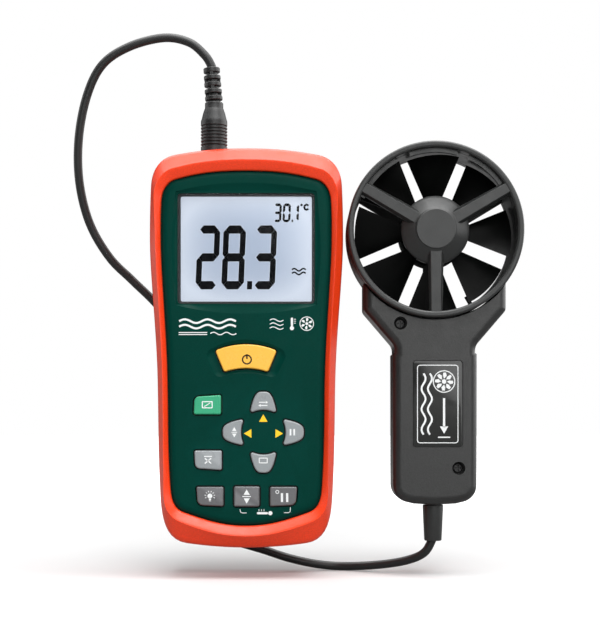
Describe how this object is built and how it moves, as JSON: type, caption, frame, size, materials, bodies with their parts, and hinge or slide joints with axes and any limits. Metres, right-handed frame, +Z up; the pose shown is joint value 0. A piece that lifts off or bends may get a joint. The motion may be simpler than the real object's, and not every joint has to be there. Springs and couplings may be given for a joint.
{
  "type": "vane anemometer",
  "caption": "Handheld air-speed meter in a rubber boot, with a display and keypad, joined by a plug-in lead to a guarded vane probe on a handle.",
  "frame": {"origin": "on the flat pad of the meter's back, on the meter's centre-line at half its height", "axes": "+Z up the meter and the probe, +X from the meter towards the probe, +Y out of the meter's back, so the display faces -Y"},
  "size_m": [0.1866, 0.0426, 0.2255],
  "materials": {
    "boot": "satin moulded rubber",
    "case": "fine grain",
    "key_yellow": "satin",
    "key_green": "satin",
    "key_grey": "satin",
    "key_dark": "satin",
    "window": "clear polished",
    "display": "diffuse behind glass",
    "board": "solder mask",
    "chip": "black moulded",
    "battery": "printed can",
    "steel": "machined",
    "contact": "plated",
    "cable": "satin jacket",
    "probe_plastic": "fine grain",
    "handle": "coarse grain",
    "label": "printed film",
    "screw_black": "blackened",
    "blade": "smooth"
  },
  "bodies": {
    "meter": {"rubber_boot": "boot", "front_case": "case", "rear_case": "case", "display_window": "window", "display_frame": "probe_plastic", "lcd_glass": "display", "lcd_backlight": "display", "elastomer_strip": "cable", "main_board": "board", "main_chip": "chip", "keypad_mat": "key_dark", "battery_9v": "battery", "battery_snap": "probe_plastic", "case_screw_1": "steel", "case_screw_2": "steel", "case_screw_3": "steel", "case_screw_4": "steel", "probe_jack": "chip"},
    "lead": {"plug_contact": "contact", "plug_grip": "probe_plastic", "plug_strain_relief": "cable", "probe_cable": "cable"},
    "probe": {"probe_front_case": "handle", "probe_rear_case": "handle", "probe_label": "label", "probe_screw_upper": "screw_black", "probe_screw_lower": "screw_black", "probe_board": "board", "pickup_sensor": "chip", "thermistor": "chip", "vane_housing": "probe_plastic", "front_guard": "probe_plastic", "rear_guard": "probe_plastic", "front_bearing": "steel", "rear_bearing": "steel", "handle_strain_relief": "cable"},
    "rotor": {"vane_rotor": "blade", "vane_axle": "steel"},
    "door": {"battery_door": "case", "battery_door_screw": "steel"},
    "power_key": {"power_key": "key_yellow"},
    "area_key": {"area_key": "key_green"},
    "average_key": {"average_key": "key_grey"},
    "up_key": {"up_key": "key_grey"},
    "left_key": {"left_key": "key_grey"},
    "right_key": {"right_key": "key_grey"},
    "down_key": {"down_key": "key_grey"},
    "backlight_key": {"backlight_key": "key_dark"},
    "max_min_key": {"max_min_key": "key_dark"},
    "hold_key": {"hold_key": "key_dark"}
  },
  "joints": [
    {"name": "plug_pull", "type": "slide", "parent": "meter", "child": "lead", "axis": [0, 0, 1], "range_m": [0, 0.008]},
    {"name": "probe_swing", "type": "hinge", "parent": "lead", "child": "probe", "pos_m": [0.0772, -0.019, -0.0786], "axis": [0, 1, 0], "range_deg": [0, 30]},
    {"name": "vane_spin", "type": "hinge", "parent": "probe", "child": "rotor", "pos_m": [0.0772, -0.019, 0.0483], "axis": [0, 1, 0], "continuous": true},
    {"name": "battery_door_lift", "type": "slide", "parent": "meter", "child": "door", "axis": [0, 1, 0], "range_m": [0, 0.012]},
    {"name": "power_press", "type": "slide", "parent": "meter", "child": "power_key", "axis": [0, 1, 0], "range_m": [0, 0.001], "stiffness_N_per_m": 600, "springref_m": -0.0005},
    {"name": "area_press", "type": "slide", "parent": "meter", "child": "area_key", "axis": [0, 1, 0], "range_m": [0, 0.001], "stiffness_N_per_m": 600, "springref_m": -0.0005},
    {"name": "average_press", "type": "slide", "parent": "meter", "child": "average_key", "axis": [0, 1, 0], "range_m": [0, 0.001], "stiffness_N_per_m": 600, "springref_m": -0.0005},
    {"name": "up_press", "type": "slide", "parent": "meter", "child": "up_key", "axis": [0, 1, 0], "range_m": [0, 0.001], "stiffness_N_per_m": 600, "springref_m": -0.0005},
    {"name": "left_press", "type": "slide", "parent": "meter", "child": "left_key", "axis": [0, 1, 0], "range_m": [0, 0.001], "stiffness_N_per_m": 600, "springref_m": -0.0005},
    {"name": "right_press", "type": "slide", "parent": "meter", "child": "right_key", "axis": [0, 1, 0], "range_m": [0, 0.001], "stiffness_N_per_m": 600, "springref_m": -0.0005},
    {"name": "down_press", "type": "slide", "parent": "meter", "child": "down_key", "axis": [0, 1, 0], "range_m": [0, 0.001], "stiffness_N_per_m": 600, "springref_m": -0.0005},
    {"name": "backlight_press", "type": "slide", "parent": "meter", "child": "backlight_key", "axis": [0, 1, 0], "range_m": [0, 0.001], "stiffness_N_per_m": 600, "springref_m": -0.0005},
    {"name": "max_min_press", "type": "slide", "parent": "meter", "child": "max_min_key", "axis": [0, 1, 0], "range_m": [0, 0.001], "stiffness_N_per_m": 600, "springref_m": -0.0005},
    {"name": "hold_press", "type": "slide", "parent": "meter", "child": "hold_key", "axis": [0, 1, 0], "range_m": [0, 0.001], "stiffness_N_per_m": 600, "springref_m": -0.0005}
  ]
}
